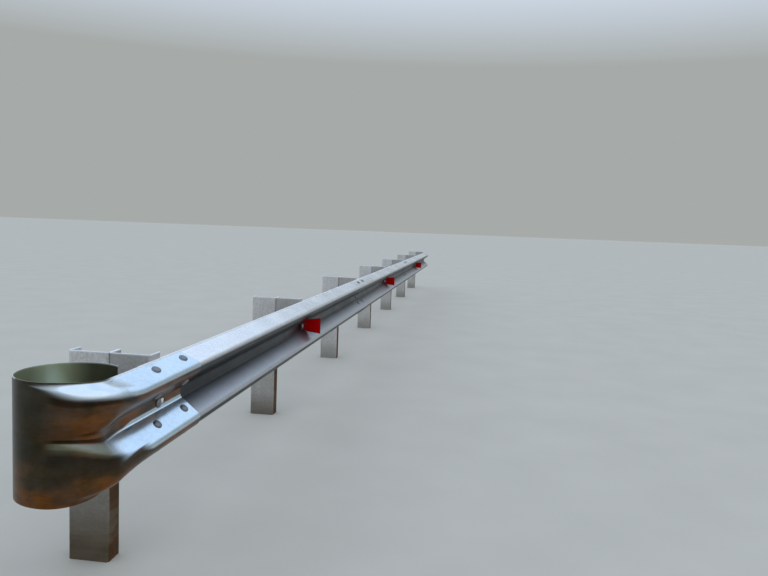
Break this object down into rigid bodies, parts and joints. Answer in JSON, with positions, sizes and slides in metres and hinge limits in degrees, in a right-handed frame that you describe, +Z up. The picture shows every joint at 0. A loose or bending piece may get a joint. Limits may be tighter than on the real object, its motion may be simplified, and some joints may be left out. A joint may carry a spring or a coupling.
{
  "type": "highway guardrail section",
  "caption": "W-beam highway guardrail run on channel posts with channel block-outs, red reflectors and a curled terminal at one end.",
  "frame": {"origin": "middle of the foot of the first post's web, at ground level; the first post is the one at the terminal", "axes": "+X along the rail away from the terminal, -Y towards traffic, +Z up"},
  "size_m": [12.7086, 0.418, 0.7522],
  "materials": {
    "terminal_steel": "bright hot-dip galvanised, nearly mirror-like",
    "beam_steel": "satin hot-dip galvanised, soft spangle",
    "channel_steel": "matt hot-dip galvanised, dull grey with faint streaks",
    "bracket_paint": "dark red paint",
    "red_sheeting": "red reflective sheeting"
  },
  "bodies": {
    "root": {"terminal_end": "terminal_steel", "beam_1": "beam_steel", "beam_2": "beam_steel", "beam_3": "beam_steel", "post_0": "channel_steel", "post_1": "channel_steel", "post_2": "channel_steel", "post_3": "channel_steel", "post_4": "channel_steel", "post_5": "channel_steel", "post_6": "channel_steel", "block_out_0": "channel_steel", "block_out_1": "channel_steel", "block_out_2": "channel_steel", "block_out_3": "channel_steel", "block_out_4": "channel_steel", "block_out_5": "channel_steel", "block_out_6": "channel_steel", "reflector_bracket_1": "bracket_paint", "reflector_bracket_3": "bracket_paint", "reflector_bracket_5": "bracket_paint", "reflector_sheeting_1": "red_sheeting", "reflector_sheeting_3": "red_sheeting", "reflector_sheeting_5": "red_sheeting"}
  },
  "joints": []
}
